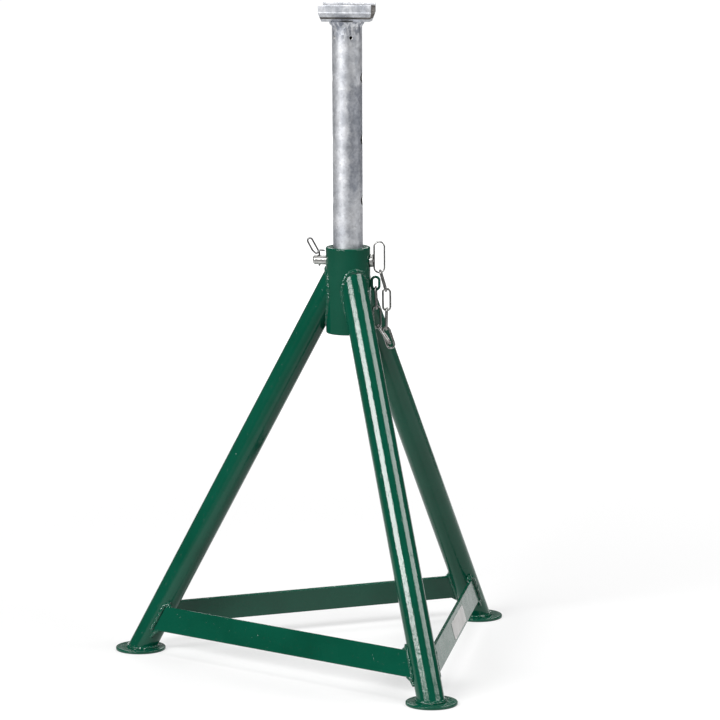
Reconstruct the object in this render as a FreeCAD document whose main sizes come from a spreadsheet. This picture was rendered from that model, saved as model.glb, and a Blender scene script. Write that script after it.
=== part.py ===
import FreeCAD, Part
import math
import os
import Sketcher
from FreeCAD import Placement, Rotation, Vector

# Tripod axle stand: a welded tube frame with a socket, a perforated steel column that
# slides in it, a headed lock pin with a pull ring and a hairpin clip, and a keeper chain.
# Millimetres, +Z up. The origin is on the floor under the column. The left leg points
# along -X, and the lock pin lies along X with its head and chain on the +X side.

# The driving sizes, in millimetres
SIZES = {
    # Frame: three leaning tube legs whose axes meet on the column's axis, just below
    # the top of the socket tube
    "leg_od": 45,
    "leg_wall": 3.2,
    "foot_reach": 362,
    "apex_drop": 14,
    "foot_od": 85,
    "foot_thick": 5,
    "foot_bevel": 1.5,
    "bead": 4.5,
    # Socket tube that the legs are welded to
    "socket_od": 75,
    "socket_length": 145,
    "socket_top": 700,
    "socket_play": 1.4,
    "socket_bevel": 1.5,
    # Flat-bar braces between the legs, lying in the lean of the two legs that they join
    "brace_height": 43,
    "brace_thick": 6,
    "brace_standoff": 17,
    "brace_level": 57.5,
    # Column with its row of cross holes
    "column_od": 50,
    "column_wall": 4,
    "hole_pitch": 102,
    "hole_count": 4,
    "column_tail": 90,
    "column_neck": 94,
    "vent_diameter": 6,
    "vent_drop": 26,
    # Saddle: a pressed trough with upright lips
    "saddle_length": 88,
    "saddle_width": 58,
    "saddle_base": 34,
    "saddle_height": 29,
    "saddle_lip": 14.5,
    "saddle_plate": 5,
    "saddle_bevel": 4,
    "saddle_bead": 6,
    # Lock pin with its head
    "pin_od": 16,
    "pin_drop": 23,
    "pin_play": 2,
    "socket_pin_play": 1,
    "pin_overhang": 21.5,
    "pin_chamfer": 2.5,
    "head_od": 22,
    "head_thick": 4.5,
    "head_gap": 0.5,
    "seat_gap": 0.3,
    # Hairpin clip through the pin's free end
    "clip_wire": 3,
    "clip_play": 1,
    "clip_inset": 11,
    "clip_tip": 2,
    "clip_bend": 4.1,
    "clip_length": 29,
    "clip_lean": 29,
    # Pull ring, keeper chain and the eye that it hangs from
    "ring_wire": 3,
    "ring_width": 20.4,
    "ring_length": 54.8,
    "ring_lift": 6,
    "link_wire": 3.5,
    "link_width": 16,
    "link_length": 40,
    "link_gap": 0.5,
    "eye_wire": 4.5,
    "eye_width": 17,
    "eye_length": 26,
    "eye_drop": 61,
}

doc = FreeCAD.newDocument("AxleStand")
sheet = doc.addObject("Spreadsheet::Sheet", "Sizes")
for row, (name, value) in enumerate(SIZES.items(), 1):
    sheet.set("A%d" % row, name)
    sheet.set("B%d" % row, str(value))
    sheet.setAlias("B%d" % row, name)
doc.recompute()


def cell(name):
    """The value of one named size."""
    return float(sheet.get(name))


def bind(item, **formulas):
    """Bind properties of an object to formulas in the sheet's names."""
    for prop, formula in formulas.items():
        item.setExpression(prop.replace("__", "."), formula)
    return item


# Formulas that several pieces share
APEX = "(Sizes.socket_top - Sizes.apex_drop)"
LEAN = "atan(Sizes.foot_reach / %s)" % APEX
TILT = "atan(Sizes.foot_reach / 2 / %s)" % APEX
PIN_LEVEL = "(Sizes.socket_top - Sizes.pin_drop)"
HOLE_LEVEL = "(%s - Sizes.pin_play / 2 + Sizes.seat_gap)" % PIN_LEVEL
COLUMN_FOOT = "(%s - Sizes.column_tail)" % HOLE_LEVEL
COLUMN_LENGTH = "(Sizes.column_tail + (Sizes.hole_count - 1) * Sizes.hole_pitch + Sizes.column_neck)"
COLUMN_TOP = "(%s + %s)" % (COLUMN_FOOT, COLUMN_LENGTH)
LEGS = {"front": -60, "left": 180, "rear": 60}
BRACES = {"left": -120, "right": 0, "rear": 120}

subparts = []


def named(item, label):
    """Mark an object as a finished sub-part and give it its name."""
    item.Label = label
    subparts.append(item)
    return item


def cut(base, tools, name):
    """Base less one or more tools, as a document boolean."""
    tool = tools[0]
    if len(tools) > 1:
        tool = doc.addObject("Part::MultiFuse", name + "_tools")
        tool.Shapes = tools
    result = doc.addObject("Part::Cut", name)
    result.Base = base
    result.Tool = tool
    return result


def common(first, second, name):
    """The space that two objects share."""
    result = doc.addObject("Part::MultiCommon", name)
    result.Shapes = [first, second]
    return result


def upright(name, radius, bottom, height):
    """A cylinder on the column's axis."""
    rod = doc.addObject("Part::Cylinder", name)
    return bind(rod, Radius=radius, Height=height, Placement__Base__z=bottom)


def leg_rod(name, azimuth, radius):
    """A cylinder on the axis of the leg at an azimuth, from below the floor to the apex."""
    rod = doc.addObject("Part::Cylinder", name)
    turned = math.radians(azimuth)
    axis = Vector(-math.sin(turned), math.cos(turned), 0)
    rod.Placement = Placement(Vector(), Rotation(axis, -20))
    below = "(1 + Sizes.leg_od / %s)" % APEX
    return bind(
        rod,
        Radius=radius,
        Height="sqrt(Sizes.foot_reach ^ 2 + %s ^ 2) * %s" % (APEX, below),
        Placement__Base__x="Sizes.foot_reach * %s * cos(%d)" % (below, azimuth),
        Placement__Base__y="Sizes.foot_reach * %s * sin(%d)" % (below, azimuth),
        Placement__Base__z="-Sizes.leg_od",
        Placement__Rotation__Angle="-" + LEAN,
    )


def origin_plane(body, role):
    """One of a body's own origin planes."""
    return next(f for f in body.Origin.OriginFeatures if f.Role == role)


def new_sketch(body, name, role):
    """An empty sketch on one of the body's origin planes."""
    drawing = body.newObject("Sketcher::SketchObject", name)
    drawing.AttachmentSupport = [(origin_plane(body, role), "")]
    drawing.MapMode = "FlatFace"
    return drawing


def draw_circle(drawing, radius, x="0", y="0"):
    """A circle held to the sheet by its radius and centre."""
    index = drawing.addGeometry(Part.Circle(Vector(1, 1, 0), Vector(0, 0, 1), 5), False)
    for kind, formula in (("Radius", radius), ("DistanceX", x), ("DistanceY", y)):
        if kind == "Radius":
            number = drawing.addConstraint(Sketcher.Constraint(kind, index, 5))
        else:
            number = drawing.addConstraint(Sketcher.Constraint(kind, -1, 1, index, 3, 1))
        drawing.setExpression("Constraints[%d]" % number, formula)
    return index


def draw_outline(drawing, corners):
    """A closed outline of straight lines whose corners are held to formulas."""
    count = len(corners)
    rough = []
    for i in range(count):
        turn = 2 * math.pi * i / count
        rough.append(Vector(10 * math.cos(turn), 10 * math.sin(turn), 0))
    for i in range(count):
        drawing.addGeometry(Part.LineSegment(rough[i], rough[(i + 1) % count]), False)
    for i in range(count):
        drawing.addConstraint(Sketcher.Constraint("Coincident", i, 2, (i + 1) % count, 1))
    for i, (x, y) in enumerate(corners):
        for kind, formula in (("DistanceX", x), ("DistanceY", y)):
            number = drawing.addConstraint(Sketcher.Constraint(kind, -1, 1, i, 1, 1))
            drawing.setExpression("Constraints[%d]" % number, formula)


def pad(body, drawing, length, midplane=False):
    """A pad of a sketch, along its normal or both ways."""
    feature = body.newObject("PartDesign::Pad", drawing.Name + "_pad")
    feature.Profile = drawing
    feature.Midplane = midplane
    return bind(feature, Length=length)


def drill(body, drawing):
    """A pocket right through the body, both ways from the sketch."""
    feature = body.newObject("PartDesign::Pocket", drawing.Name + "_cut")
    feature.Profile = drawing
    feature.Type = 1
    feature.Midplane = True
    return feature


def bevel_edges(body, base, width, keep, name):
    """A bevel on the circular edges of the tip that a test picks."""
    doc.recompute()
    edges = []
    for i, edge in enumerate(base.Shape.Edges):
        if isinstance(edge.Curve, Part.Circle) and keep(edge):
            edges.append("Edge%d" % (i + 1))
    feature = body.newObject("PartDesign::Chamfer", name)
    feature.Base = (base, edges)
    return bind(feature, Size=width)


# Socket tube: thick-walled tube with a cross hole for the lock pin
socket = doc.addObject("PartDesign::Body", "socket")
wall = new_sketch(socket, "socket_wall", "XY_Plane")
draw_circle(wall, "Sizes.socket_od / 2")
draw_circle(wall, "(Sizes.column_od + Sizes.socket_play) / 2")
pad(socket, wall, "Sizes.socket_length")
pin_bore = new_sketch(socket, "socket_pin_hole", "YZ_Plane")
draw_circle(
    pin_bore,
    "(Sizes.pin_od + Sizes.socket_pin_play) / 2",
    y="Sizes.socket_length - Sizes.pin_drop",
)
bored = drill(socket, pin_bore)
bevel_edges(
    socket,
    bored,
    "Sizes.socket_bevel",
    lambda e: abs(e.Curve.Radius - cell("socket_od") / 2) < 0.01 and len(e.Vertexes) == 1,
    "socket_rims",
)
bind(socket, Placement__Base__z="Sizes.socket_top - Sizes.socket_length")
named(socket, "socket_tube")

# Legs: round tube, coped to the socket at the top and cut flat on the foot disc
socket_core = upright(
    "socket_core", "Sizes.socket_od / 2", "0", "Sizes.socket_top + Sizes.socket_length"
)
floor_block = doc.addObject("Part::Cylinder", "floor_block")
bind(
    floor_block,
    Radius="Sizes.foot_reach * 2",
    Height="Sizes.leg_od * 2 + Sizes.foot_thick",
    Placement__Base__z="-Sizes.leg_od * 2",
)
leg_cores = {}
for side, azimuth in LEGS.items():
    core = leg_rod("leg_core_" + side, azimuth, "Sizes.leg_od / 2")
    bore = leg_rod("leg_bore_" + side, azimuth, "Sizes.leg_od / 2 - Sizes.leg_wall")
    leg_cores[side] = core
    named(cut(core, [bore, socket_core, floor_block], "leg_%s_cut" % side), "leg_" + side)

# Foot discs under the legs
for side, azimuth in LEGS.items():
    foot = doc.addObject("PartDesign::Body", "foot_%s_body" % side)
    outline = new_sketch(foot, "foot_outline_" + side, "XY_Plane")
    draw_circle(outline, "Sizes.foot_od / 2")
    plate = pad(foot, outline, "Sizes.foot_thick")
    bevel_edges(
        foot, plate, "Sizes.foot_bevel", lambda e: e.CenterOfMass.z > 1, "foot_bevel_" + side
    )
    bind(
        foot,
        Placement__Base__x="Sizes.foot_reach * cos(%d)" % azimuth,
        Placement__Base__y="Sizes.foot_reach * sin(%d)" % azimuth,
    )
    named(foot, "foot_" + side)


def tilted_bar(name, grow):
    """A brace's bar in its own frame, with X outwards, grown on every side by a weld's size."""
    bar = doc.addObject("Part::Box", name)
    bar.Placement = Placement(Vector(), Rotation(Vector(0, 1, 0), -10))
    inner = "(Sizes.brace_standoff - Sizes.brace_thick - %s)" % grow
    lower = "(Sizes.brace_level - Sizes.brace_height / 2 - %s)" % grow
    narrowing = "(1 - Sizes.brace_level * cos(%s) / %s)" % (TILT, APEX)
    span = "(Sizes.foot_reach * sqrt(3) * %s)" % narrowing
    return bind(
        bar,
        Length="Sizes.brace_thick + 2 * " + grow,
        Width=span,
        Height="Sizes.brace_height + 2 * " + grow,
        Placement__Rotation__Angle="-" + TILT,
        Placement__Base__x="Sizes.foot_reach / 2 + %s * cos(%s) - %s * sin(%s)"
        % (inner, TILT, lower, TILT),
        Placement__Base__y="-%s / 2" % span,
        Placement__Base__z="%s * sin(%s) + %s * cos(%s)" % (inner, TILT, lower, TILT),
    )


# Braces: flat bar coped to the flanks of two legs, with a weld round each end
near_leg = leg_rod("brace_leg_near", -60, "Sizes.leg_od / 2")
far_leg = leg_rod("brace_leg_far", 60, "Sizes.leg_od / 2")
brace_welds = []
for side, azimuth in BRACES.items():
    about_z = Rotation(Vector(0, 0, 1), azimuth)
    bar = tilted_bar("brace_bar_" + side, "0")
    brace = cut(bar, [near_leg, far_leg], "brace_%s_cut" % side)
    brace.Placement = Placement(Vector(), about_z)
    named(brace, "brace_" + side)
    for end, leg_azimuth, leg in (("near", -60, near_leg), ("far", 60, far_leg)):
        sleeve = leg_rod("sleeve_%s_%s" % (side, end), leg_azimuth, "Sizes.leg_od / 2 + Sizes.bead")
        block = tilted_bar("weld_block_%s_%s" % (side, end), "Sizes.bead")
        fat = common(block, sleeve, "weld_fat_%s_%s" % (side, end))
        weld = cut(fat, [bar, leg], "brace_weld_%s_%s" % (side, end))
        weld.Placement = Placement(Vector(), about_z)
        brace_welds.append(weld)

# Welds at both ends of each leg, on the socket tube and on the foot disc
leg_welds = []
below_pin = "Sizes.socket_top - Sizes.pin_drop - Sizes.pin_od / 2 - Sizes.pin_play"
socket_sleeve = upright("socket_sleeve", "Sizes.socket_od / 2 + Sizes.bead", "0", below_pin)
bead_layer = doc.addObject("Part::Cylinder", "bead_layer")
bind(
    bead_layer,
    Radius="Sizes.foot_reach * 2",
    Height="Sizes.bead",
    Placement__Base__z="Sizes.foot_thick",
)
for side, azimuth in LEGS.items():
    sleeve = leg_rod("leg_sleeve_" + side, azimuth, "Sizes.leg_od / 2 + Sizes.bead")
    top = common(sleeve, socket_sleeve, "leg_weld_fat_" + side)
    leg_welds.append(cut(top, [leg_cores[side], socket_core], "leg_weld_" + side))
    bottom = common(sleeve, bead_layer, "foot_weld_fat_" + side)
    leg_welds.append(cut(bottom, [leg_cores[side]], "foot_weld_" + side))


def group(pieces, label):
    """Separate solids of one kind, kept together under one name."""
    result = doc.addObject("Part::Compound", label + "_group")
    result.Links = pieces
    return named(result, label)


group(leg_welds, "leg_welds")
group(brace_welds, "brace_welds")

# Column tube: cross holes at an even pitch, two small vents under the saddle, and the
# flare of weld that joins its top to the saddle
column = doc.addObject("PartDesign::Body", "column")
outline = new_sketch(column, "column_outline", "XY_Plane")
draw_circle(outline, "Sizes.column_od / 2")
pad(column, outline, COLUMN_LENGTH)
flare = column.newObject("PartDesign::AdditiveCone", "saddle_flare")
bind(
    flare,
    Radius1="Sizes.column_od / 2 - 0.5",
    Radius2="Sizes.column_od / 2 + Sizes.saddle_bead",
    Height="Sizes.saddle_bead * 1.4",
    Placement__Base__z="%s - Sizes.saddle_bead * 1.4" % COLUMN_LENGTH,
)
bore = new_sketch(column, "column_bore", "XY_Plane")
draw_circle(bore, "Sizes.column_od / 2 - Sizes.column_wall")
drill(column, bore)
hole = new_sketch(column, "column_hole", "YZ_Plane")
draw_circle(hole, "(Sizes.pin_od + Sizes.pin_play) / 2", y="Sizes.column_tail")
first_hole = drill(column, hole)
row = column.newObject("PartDesign::LinearPattern", "column_holes")
row.Originals = [first_hole]
row.Direction = (origin_plane(column, "Z_Axis"), [""])
bind(row, Length="(Sizes.hole_count - 1) * Sizes.hole_pitch", Occurrences="Sizes.hole_count")
column.Tip = row
doc.recompute()
for number, azimuth in enumerate((-66, -140)):
    vent = column.newObject("PartDesign::SubtractiveCylinder", "vent_%d" % number)
    across = math.radians(azimuth)
    facing = Rotation(Vector(0, 0, 1), Vector(math.cos(across), math.sin(across), 0))
    vent.Placement = Placement(Vector(), facing)
    bind(
        vent,
        Radius="Sizes.vent_diameter / 2",
        Height="Sizes.column_od",
        Placement__Base__z="%s - Sizes.vent_drop" % COLUMN_LENGTH,
    )
bind(column, Placement__Base__z=COLUMN_FOOT)
named(column, "column_tube")

# Saddle: bent plate trough, welded on the column with its open ends to left and right
saddle = doc.addObject("PartDesign::Body", "saddle_body")
profile = new_sketch(saddle, "saddle_profile", "YZ_Plane")
half_top = "Sizes.saddle_width / 2"
half_base = "Sizes.saddle_base / 2"
knee = "Sizes.saddle_height - Sizes.saddle_lip"
inner_knee = "Sizes.saddle_height - Sizes.saddle_lip + Sizes.saddle_plate * 0.4"
draw_outline(
    profile,
    [
        ("-" + half_base, "0"),
        (half_base, "0"),
        (half_top, knee),
        (half_top, "Sizes.saddle_height"),
        ("%s - Sizes.saddle_plate" % half_top, "Sizes.saddle_height"),
        ("%s - Sizes.saddle_plate" % half_top, inner_knee),
        ("%s - Sizes.saddle_plate * 0.4" % half_base, "Sizes.saddle_plate"),
        ("-%s + Sizes.saddle_plate * 0.4" % half_base, "Sizes.saddle_plate"),
        ("-%s + Sizes.saddle_plate" % half_top, inner_knee),
        ("-%s + Sizes.saddle_plate" % half_top, "Sizes.saddle_height"),
        ("-" + half_top, "Sizes.saddle_height"),
        ("-" + half_top, knee),
    ],
)
pad(saddle, profile, "Sizes.saddle_length", midplane=True)
for name, sign in (("saddle_left_end", "-"), ("saddle_right_end", "")):
    corner = new_sketch(saddle, name, "XZ_Plane")
    end = "%sSizes.saddle_length / 2" % sign
    inward = "%s(Sizes.saddle_length / 2 - Sizes.saddle_bevel)" % sign
    draw_outline(corner, [(end, knee), (end, "0"), (inward, "0")])
    drill(saddle, corner)
bind(saddle, Placement__Base__z=COLUMN_TOP)
named(saddle, "saddle")

# Lock pin: turned rod with a head at the right and a chamfer and a clip hole at the left
lock_pin = doc.addObject("PartDesign::Body", "lock_pin_body")
turned = new_sketch(lock_pin, "pin_profile", "XZ_Plane")
pin_radius = "Sizes.pin_od / 2"
pin_end = "-(Sizes.socket_od / 2 + Sizes.pin_overhang)"
head_start = "(Sizes.socket_od / 2 + Sizes.head_gap)"
head_end = "(Sizes.socket_od / 2 + Sizes.head_gap + Sizes.head_thick)"
draw_outline(
    turned,
    [
        (pin_end, "0"),
        (head_end, "0"),
        (head_end, "Sizes.head_od / 2"),
        (head_start, "Sizes.head_od / 2"),
        (head_start, pin_radius),
        ("%s + Sizes.pin_chamfer" % pin_end, pin_radius),
        (pin_end, "%s - Sizes.pin_chamfer" % pin_radius),
    ],
)
turning = lock_pin.newObject("PartDesign::Revolution", "pin_turning")
turning.Profile = turned
turning.ReferenceAxis = (origin_plane(lock_pin, "X_Axis"), [""])
turning.Angle = 360
clip_bore = new_sketch(lock_pin, "clip_hole", "XY_Plane")
draw_circle(
    clip_bore,
    "(Sizes.clip_wire + Sizes.clip_play) / 2",
    x="-(Sizes.socket_od / 2 + Sizes.clip_inset)",
)
drill(lock_pin, clip_bore)
bind(lock_pin, Placement__Base__z=PIN_LEVEL)
named(lock_pin, "lock_pin")


def flats(radius, x="0"):
    """The eight corners of a wire's section, with its flats at the wire's radius."""
    corners = []
    for i in range(8):
        turn = 45 * i + 22.5
        reach = "%s / cos(22.5)" % radius
        corners.append(("%s + %s * cos(%s)" % (x, reach, turn), "%s * sin(%s)" % (reach, turn)))
    return corners


def oval(name, wire, width, length):
    """A closed oval of wire in its own XY plane, its length along X, bent in steps of 30."""
    body = doc.addObject("PartDesign::Body", name + "_body")
    path = new_sketch(body, name + "_path", "XY_Plane")
    section = new_sketch(body, name + "_section", "YZ_Plane")
    bend = "(Sizes.%s - Sizes.%s) / 2" % (width, wire)
    reach = "(Sizes.%s - Sizes.%s) / 2" % (length, width)
    corners = [("0", "-" + bend)]
    for side, middle in (("", 0), ("-", 180)):
        for turn in (-75, -45, -15, 15, 45, 75):
            x = "%s%s + %s * cos(%d) / cos(15)" % (side, reach, bend, turn + middle)
            y = "%s * sin(%d) / cos(15)" % (bend, turn + middle)
            corners.append((x, y))
    draw_outline(path, corners)
    draw_outline(section, flats("Sizes.%s / 2" % wire, x="-" + bend))
    pipe = body.newObject("PartDesign::AdditivePipe", name + "_pipe")
    pipe.Profile = section
    pipe.Spine = (path, ["Edge%d" % (i + 1) for i in range(len(corners))])
    pipe.Transition = "Right corner"
    return body


def stand(body, x, z, angle, face_on):
    """Put an oval's centre in the plane y = 0, its length at an angle up from +X."""
    turn = Rotation(Vector(0, 1, 0), -math.degrees(angle))
    if face_on:
        turn = turn * Rotation(Vector(1, 0, 0), 90)
    body.Placement = Placement(Vector(x, 0, z), turn)


# Pull ring: an upright oval of wire, welded to the middle of the pin's head
ring = oval("pull_ring", "ring_wire", "ring_width", "ring_length")
pin_level = cell("socket_top") - cell("pin_drop")
head_face = cell("socket_od") / 2 + cell("head_gap") + cell("head_thick")
ring_x = head_face + cell("ring_width") / 2
ring_z = pin_level + cell("ring_lift")
stand(ring, ring_x, ring_z, math.pi / 2, True)
named(ring, "pull_ring")
dab = doc.addObject("Part::Prism", "ring_weld_dab")
dab.Polygon = 8
dab.Placement = Placement(Vector(), Rotation(Vector(0, 1, 0), 90))
bind(
    dab,
    Circumradius="Sizes.ring_wire * 1.2",
    Height="Sizes.ring_wire * 0.9",
    Placement__Base__x=head_end,
    Placement__Base__z=PIN_LEVEL,
)
named(cut(dab, [lock_pin, ring], "ring_weld_cut"), "ring_weld")

# Chain eye: a small oval of rod, welded upright on the socket's right side
eye = oval("chain_eye", "eye_wire", "eye_width", "eye_length")
eye_x = cell("socket_od") / 2 + cell("eye_width") / 2 + cell("seat_gap")
eye_z = cell("socket_top") - cell("eye_drop")
stand(eye, eye_x, eye_z, math.pi / 2, True)
named(eye, "chain_eye")
eye_bead = doc.addObject("Part::Prism", "eye_bead")
eye_bead.Polygon = 8
bind(
    eye_bead,
    Circumradius="Sizes.eye_wire * 0.75",
    Height="Sizes.eye_length / 2",
    Placement__Base__x="Sizes.socket_od / 2 + Sizes.seat_gap + Sizes.eye_wire * 0.25",
    Placement__Base__z="Sizes.socket_top - Sizes.eye_drop - Sizes.eye_length / 4",
)
named(cut(eye_bead, [socket_core, eye], "eye_weld_cut"), "eye_weld")

# Chain: seven long links between the ring and the eye. Links 2, 4 and 6 face the front,
# the others are edge-on. A face-on link turns on the centres of its own end bends, and
# an edge-on link on the bend centres of its neighbours, so that no wires meet.
link_bend = (cell("link_width") - cell("link_wire")) / 2
link_middle = cell("link_length") - cell("link_wire")
face_on_run = link_middle - 2 * link_bend
inner_reach = link_bend - cell("link_wire") - cell("link_gap")


def hung_reach(width, wire):
    """From the bend centre of a carrying oval down to the link wire that hangs in it."""
    return (cell(width) - cell(wire)) / 2 - (cell(wire) + cell("link_wire")) / 2 - cell("link_gap")


ring_reach = hung_reach("ring_width", "ring_wire")
eye_reach = hung_reach("eye_width", "eye_wire")
runs = [
    ring_reach + link_middle + inner_reach,
    face_on_run,
    inner_reach + link_middle + inner_reach,
    face_on_run,
    inner_reach + link_middle + inner_reach,
    face_on_run,
    eye_reach + link_middle + inner_reach,
]


def step(point, run, degrees):
    """The point that lies one run away at an angle up from +X."""
    angle = math.radians(degrees)
    return (point[0] + run * math.cos(angle), point[1] + run * math.sin(angle))


# How the links hang in the photograph, in degrees up from +X, from the ring and the eye
pivots = [(ring_x, ring_z - (cell("ring_length") - cell("ring_width")) / 2)]
for run, hang in zip(runs[:3], (-74, -89.5, -91.5)):
    pivots.append(step(pivots[-1], run, hang))
eye_pivot = (eye_x, eye_z - (cell("eye_length") - cell("eye_width")) / 2)
after_seven = step(eye_pivot, runs[6], -88)
after_six = step(after_seven, runs[5], -88)

# Links 4 and 5 close the loop: their shared pivot is where their two runs meet
gap_x = after_six[0] - pivots[3][0]
gap_z = after_six[1] - pivots[3][1]
gap = math.hypot(gap_x, gap_z)
along = (runs[3] ** 2 - runs[4] ** 2 + gap ** 2) / (2 * gap)
aside = math.sqrt(runs[3] ** 2 - along ** 2)
meetings = []
for sign in (1, -1):
    x = pivots[3][0] + (along * gap_x + sign * aside * gap_z) / gap
    z = pivots[3][1] + (along * gap_z - sign * aside * gap_x) / gap
    meetings.append((x, z))
low_pivot = min(meetings, key=lambda point: point[1])
pivots += [low_pivot, after_six, after_seven, eye_pivot]

for number in range(7):
    start, end = pivots[number], pivots[number + 1]
    link = oval("chain_link_%d" % (number + 1), "link_wire", "link_width", "link_length")
    angle = math.atan2(end[1] - start[1], end[0] - start[0])
    face_on = number % 2 == 1
    lead = ring_reach if number == 0 else inner_reach
    middle = runs[number] / 2 if face_on else lead + link_middle / 2
    centre = step(start, middle, math.degrees(angle))
    stand(link, centre[0], centre[1], angle, face_on)
    named(link, "chain_link_%d" % (number + 1))


def bent_wire(points, bends, radius):
    """Eight-sided wire along straight runs, joined at the inner points by stepped bends."""
    path = [points[0]]
    for before, corner, after, bend in zip(points, points[1:], points[2:], bends):
        back = (before - corner).normalize()
        ahead = (after - corner).normalize()
        half = back.getAngle(ahead) / 2
        inward = (back + ahead).normalize()
        centre = corner + inward * (bend / math.sin(half))
        steps = max(1, round((math.pi - 2 * half) / math.radians(40)))
        share = (math.pi - 2 * half) / steps
        across = (ahead - inward * ahead.dot(inward)).normalize()
        for i in range(steps):
            turn = (i + 0.5) * share - (math.pi / 2 - half)
            out = inward * -math.cos(turn) + across * math.sin(turn)
            path.append(centre + out * (bend / math.cos(share / 2)))
    path.append(points[-1])
    run = path[1] - path[0]
    side = run.cross(Vector(0, 1, 0)).normalize()
    ring = []
    for i in range(9):
        turn = math.radians(45 * i + 22.5)
        spoke = side * math.cos(turn) + Vector(0, 1, 0) * math.sin(turn)
        ring.append(path[0] + spoke * (radius / math.cos(math.pi / 8)))
    section = Part.makePolygon(ring)
    return Part.makePolygon(path).makePipeShell([section], True, False, 1)


# Hairpin clip: spring wire with a straight leg down through the pin's end, a looped head
# that leans outwards, and a free leg that crosses in front and lies over the pin
lean = math.radians(cell("clip_lean"))
rise = Vector(-math.sin(lean), 0, math.cos(lean))
aside_step = Vector(-math.cos(lean), 0, -math.sin(lean))
pin_top = cell("pin_od") / 2
wire = cell("clip_wire")
elbow = Vector(0, 0, pin_top + wire * 1.5)
head_right = elbow + rise * cell("clip_length")
head_left = head_right + aside_step * cell("clip_bend") * 2.02
shoulder = head_left - rise * cell("clip_length") * 0.7 + Vector(0, -wire / 2, 0)
crossing = -wire * 1.1
clip_points = [
    Vector(0, 0, -pin_top - cell("clip_tip")),
    elbow,
    head_right,
    head_left,
    shoulder,
    Vector(-wire * 1.5, crossing, pin_top + wire * 0.75),
    Vector(wire * 0.6, crossing, pin_top + wire * 3),
    Vector(cell("clip_inset") - wire * 0.5, crossing, pin_top + wire * 2.7),
]
clip_bends = [wire * 1.3, cell("clip_bend"), cell("clip_bend"), wire * 1.7, wire, wire * 0.9]
clip = doc.addObject("Part::Feature", "safety_clip_wire")
clip.Shape = bent_wire(clip_points, clip_bends, wire / 2)
clip_x = -(cell("socket_od") / 2 + cell("clip_inset"))
clip.Placement = Placement(Vector(clip_x, 0, pin_level), Rotation())
named(clip, "safety_clip")

# Check every object, then write one file for each sub-part
doc.recompute()
for item in doc.Objects:
    if "Invalid" in item.State or "Error" in item.State:
        raise RuntimeError("%s is %s" % (item.Label, item.State))
for item in subparts:
    if item.Shape.isNull() or not item.Shape.isValid() or not item.Shape.Solids:
        raise RuntimeError("%s has no valid solid" % item.Label)
os.makedirs("parts", exist_ok=True)
for item in subparts:
    item.Shape.exportStep("parts/%s.step" % item.Label)
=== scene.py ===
from math import atan, atan2, cos, pi, radians, sin, sqrt

import bmesh
import bpy
from mathutils import Matrix, Vector
from mathutils.geometry import tessellate_polygon
from mathutils.noise import noise


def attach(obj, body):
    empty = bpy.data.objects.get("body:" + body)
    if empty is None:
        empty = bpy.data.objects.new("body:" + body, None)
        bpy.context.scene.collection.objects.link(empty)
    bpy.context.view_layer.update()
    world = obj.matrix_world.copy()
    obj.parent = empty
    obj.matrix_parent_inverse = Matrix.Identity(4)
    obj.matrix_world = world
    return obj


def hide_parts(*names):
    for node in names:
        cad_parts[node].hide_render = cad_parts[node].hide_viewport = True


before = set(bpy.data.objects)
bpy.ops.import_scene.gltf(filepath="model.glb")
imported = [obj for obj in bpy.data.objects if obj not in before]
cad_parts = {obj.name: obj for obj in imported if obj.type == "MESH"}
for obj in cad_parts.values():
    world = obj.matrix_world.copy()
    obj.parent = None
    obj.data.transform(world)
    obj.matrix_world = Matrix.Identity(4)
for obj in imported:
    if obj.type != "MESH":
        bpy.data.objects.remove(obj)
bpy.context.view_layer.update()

# Socket tube
# The thick collar at the heart of the frame, sawn from 75 mm steel tube. Its rims are
# dressed round, a 17 mm hole for the lock pin goes right through it, and it is coated
# with the legs and braces in one gloss green powder coat.
SOCKET_OUTER = 0.0375
SOCKET_BORE = 0.0257
SOCKET_FOOT = 0.555
SOCKET_TOP = 0.700
PIN_LEVEL = 0.677
PIN_HOLE = 0.0085
COAT_GREEN = (0.002, 0.1, 0.058)


def feed(tree, node, inputs):
    """Links a node's inputs to other sockets, or sets them to plain values."""
    for place, value in inputs.items():
        if isinstance(value, bpy.types.NodeSocket):
            tree.links.new(value, node.inputs[place])
        else:
            node.inputs[place].default_value = value
    return node


def put_node(tree, kind, inputs, **settings):
    """A new node with its settings and its inputs."""
    node = tree.nodes.new(kind)
    for name, value in settings.items():
        setattr(node, name, value)
    return feed(tree, node, inputs)


def made(tree, kind, inputs, **settings):
    """The first output of a new node."""
    return put_node(tree, kind, inputs, **settings).outputs[0]


def new_finish(name, colour, metallic, roughness):
    """A node material with its tree, its shader and the coordinates of the piece."""
    finish = bpy.data.materials.new(name)
    finish.use_nodes = True
    tree = finish.node_tree
    plain = {"Base Color": (*colour, 1), "Metallic": metallic, "Roughness": roughness}
    shader = feed(tree, tree.nodes["Principled BSDF"], plain)
    return finish, tree, shader, put_node(tree, "ShaderNodeTexCoord", {}).outputs["Object"]


def spread(tree, value, start, end, low=0.0, high=1.0, way="LINEAR"):
    """A value that runs from low to high while another runs from start to end."""
    sizes = {"Value": value, "From Min": start, "From Max": end, "To Min": low, "To Max": high}
    return made(tree, "ShaderNodeMapRange", sizes, interpolation_type=way)


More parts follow.
